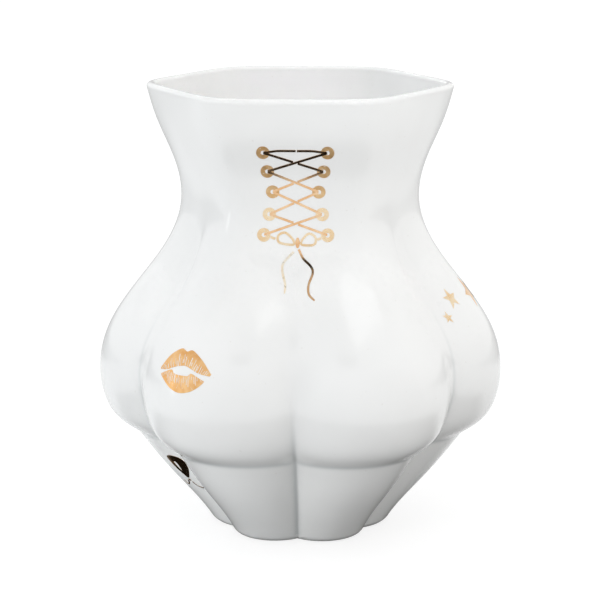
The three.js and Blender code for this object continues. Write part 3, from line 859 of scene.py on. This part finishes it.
def aim(thing, place, target):
    """Puts a light or the camera at a place, facing the target."""
    thing.location = place
    thing.rotation_euler = (Vector(target) - Vector(place)).to_track_quat("-Z", "Y").to_euler()


def on_sphere(azimuth, elevation, distance, target):
    """The place `distance` from the target, seen from it at an azimuth and elevation in degrees."""
    a, e = math.radians(azimuth), math.radians(elevation)
    away = Vector((math.sin(a) * math.cos(e), -math.cos(a) * math.cos(e), math.sin(e)))
    return Vector(target) + away * distance


def softbox(name, place, size, power, roll=0, reflected=True, target=MIDDLE, spread_angle=180):
    """A rectangular light. `place` is its azimuth, elevation and distance from its target."""
    data = bpy.data.lights.new(name, "AREA")
    data.shape = "RECTANGLE"
    data.size, data.size_y = size
    data.energy = power
    data.spread = math.radians(spread_angle)
    light = bpy.data.objects.new(name, data)
    bpy.context.scene.collection.objects.link(light)
    aim(light, on_sphere(*place, target), target)
    light.rotation_euler.rotate_axis("Z", math.radians(roll))
    light.visible_camera = False
    light.visible_glossy = reflected


def studio_lights():
    softbox("overhead_softbox", place=(44, 60, 1.7), size=(1.25, 0.42), power=2.2)
    softbox("left_strip", place=(-82, 3, 1.3), size=(0.14, 0.4), power=0.35, roll=25)
    softbox(
        "left_low_panel", place=(-62, 2, 0.75), size=(0.4, 0.04), power=0.030,
        reflected=False, target=THIGHS, spread_angle=12,
    )
    softbox(
        "mouth_panel", place=(8, 78, 1.2), size=(0.06, 0.06), power=0.015,
        reflected=False, target=MOUTH, spread_angle=8,
    )
    softbox("right_panel", place=(80, 25, 1.6), size=(1.0, 0.8), power=0.2, reflected=False)


def studio_floor():
    """A pale floor, which the vase and its gold reflect as a dark table top on a pale one."""
    size = FLOOR_HALF_SIZE
    mesh = bpy.data.meshes.new("studio_floor")
    corners = [(-size, -size, 0), (size, -size, 0), (size, size, 0), (-size, size, 0)]
    mesh.from_pydata(corners, [], [(0, 1, 2, 3)])
    floor = bpy.data.objects.new("studio_floor", mesh)
    bpy.context.scene.collection.objects.link(floor)

    material, tree, where = new_material("pale_floor")
    path = node(tree, "ShaderNodeLightPath")
    glow = node(tree, "ShaderNodeEmission", {"Color": BACKDROP, "Strength": FLOOR_GLOW})
    lit = node(tree, "ShaderNodeBsdfDiffuse", {"Color": FLOOR_LIT})
    seen = node(tree, "ShaderNodeAddShader", {0: glow.outputs[0], 1: lit.outputs[0]})

    rightward, backward, _ = node(tree, "ShaderNodeSeparateXYZ", {0: where}).outputs
    distance = node(tree, "ShaderNodeVectorMath", {0: where}, operation="LENGTH").outputs["Value"]
    off_tabletop = node(
        tree,
        "ShaderNodeMath",
        {0: spread(tree, backward, *TABLETOP_BACK), 1: spread(tree, distance, *TABLETOP_ENDS)},
        operation="MAXIMUM",
    )
    surroundings = mix_colour(
        tree, spread(tree, backward, *FAR_FLOOR_STARTS), SURROUNDINGS, FAR_FLOOR
    )
    reflected = mix_colour(tree, off_tabletop.outputs[0], TABLETOP, surroundings)
    near = mix_colour(tree, spread(tree, rightward, *NEAR_SIDES), NEAR_LEFT, NEAR_RIGHT)
    bounced = mix_colour(tree, spread(tree, distance, *FAR_STARTS), near, FAR_BOUNCE)
    colour = mix_colour(tree, path.outputs["Is Glossy Ray"], bounced, reflected)
    unseen = node(tree, "ShaderNodeBsdfDiffuse", {"Color": colour})
    surface = node(
        tree,
        "ShaderNodeMixShader",
        {0: path.outputs["Is Camera Ray"], 1: unseen.outputs[0], 2: seen.outputs[0]},
    )
    node(tree, "ShaderNodeOutputMaterial", {"Surface": surface.outputs[0]})
    mesh.materials.append(material)


def product(tree, *values):
    """All the values multiplied together."""
    result = values[0]
    for value in values[1:]:
        made = node(tree, "ShaderNodeMath", {0: result, 1: value}, operation="MULTIPLY")
        result = made.outputs["Value"]
    return result


def studio_world():
    """A white backdrop, and round it a pale room with a dark gap high in front and a dark end."""
    world = bpy.data.worlds.new("studio")
    bpy.context.scene.world = world
    world.use_nodes = True
    tree = world.node_tree
    tree.nodes.clear()
    direction = node(tree, "ShaderNodeTexCoord").outputs["Generated"]
    rightward, backward, upward = node(tree, "ShaderNodeSeparateXYZ", {0: direction}).outputs
    path = node(tree, "ShaderNodeLightPath")
    in_gap = product(
        tree,
        spread(tree, upward, *GAP_BOTTOM),
        spread(tree, upward, *GAP_TOP),
        spread(tree, rightward, *GAP_LEFT),
        spread(tree, rightward, *GAP_RIGHT),
        spread(tree, backward, *GAP_BACK),
    )
    room = mix_colour(tree, spread(tree, upward, *ROOM_TURNS), ROOM_LOW, ROOM_HIGH)
    room = mix_colour(tree, spread(tree, backward, *ROOM_END_STARTS), room, ROOM_END)
    reflected = mix_colour(tree, in_gap, room, GAP)
    fill = mix_colour(tree, spread(tree, rightward, -1, 1), FILL_LEFT, FILL_RIGHT)
    bounced = mix_colour(tree, path.outputs["Is Glossy Ray"], fill, reflected)
    colour = mix_colour(tree, path.outputs["Is Camera Ray"], bounced, BACKDROP)
    backdrop = node(tree, "ShaderNodeBackground", {"Color": colour, "Strength": 1.0})
    node(tree, "ShaderNodeOutputWorld", {"Surface": backdrop.outputs[0]})


def camera():
    data = bpy.data.cameras.new("camera")
    data.sensor_width = CAMERA_SENSOR
    data.lens = CAMERA_LENS
    made = bpy.data.objects.new("camera", data)
    bpy.context.scene.collection.objects.link(made)
    aim(made, on_sphere(*CAMERA_PLACE, CAMERA_TARGET), CAMERA_TARGET)
    bpy.context.scene.camera = made


# ---------------------------------------------------------------- the whole scene

camera()
vase_body()
bright_gold = gold_material(
    "bright_gold", deep=(0.83, 0.50, 0.26, 1), pale=(0.93, 0.66, 0.42, 1),
    roughness=0.10, ripple=0.05, worn=0.0,
)
satin_gold = gold_material(
    "satin_gold", deep=(0.74, 0.45, 0.20, 1), pale=(0.86, 0.60, 0.33, 1),
    roughness=0.42, ripple=0.03, worn=0.02,
)
pale_gold = gold_material(
    "pale_gold", deep=(0.86, 0.62, 0.36, 1), pale=(0.94, 0.78, 0.55, 1),
    roughness=0.30, ripple=0.05, worn=0.03, metallic=0.85,
)
print_gold = gold_material(
    "print_gold", deep=(0.85, 0.47, 0.18, 1), pale=(0.94, 0.61, 0.30, 1),
    roughness=0.42, ripple=0.04, worn=0.02,
)
# A pale, weakly metallic copy of the gold: its pale colour is a painted reflection of the bright
# light above the left tail
painted_sheen_gold = gold_material(
    "painted_sheen_gold", deep=(0.90, 0.76, 0.56, 1), pale=(0.90, 0.84, 0.73, 1),
    roughness=0.30, ripple=0.05, worn=-0.05, metallic=0.35,
)
corset_lacing(bright_gold, satin_gold, pale_gold)
corset_bow(bright_gold, pale_gold, painted_sheen_gold)
kiss(print_gold)
star("star_large", [1, 129.4], radius=5, tilt=150, material=pale_gold, trail=1.15)
star("star_small", [-8.8, 121.2], radius=3.1, tilt=-8, material=pale_gold)
star("star_side", [24, 129], radius=8, tilt=20, material=bright_gold)
garter_bow(bright_gold)

studio_floor()
studio_world()
studio_lights()
bpy.context.scene.view_settings.view_transform = "Standard"
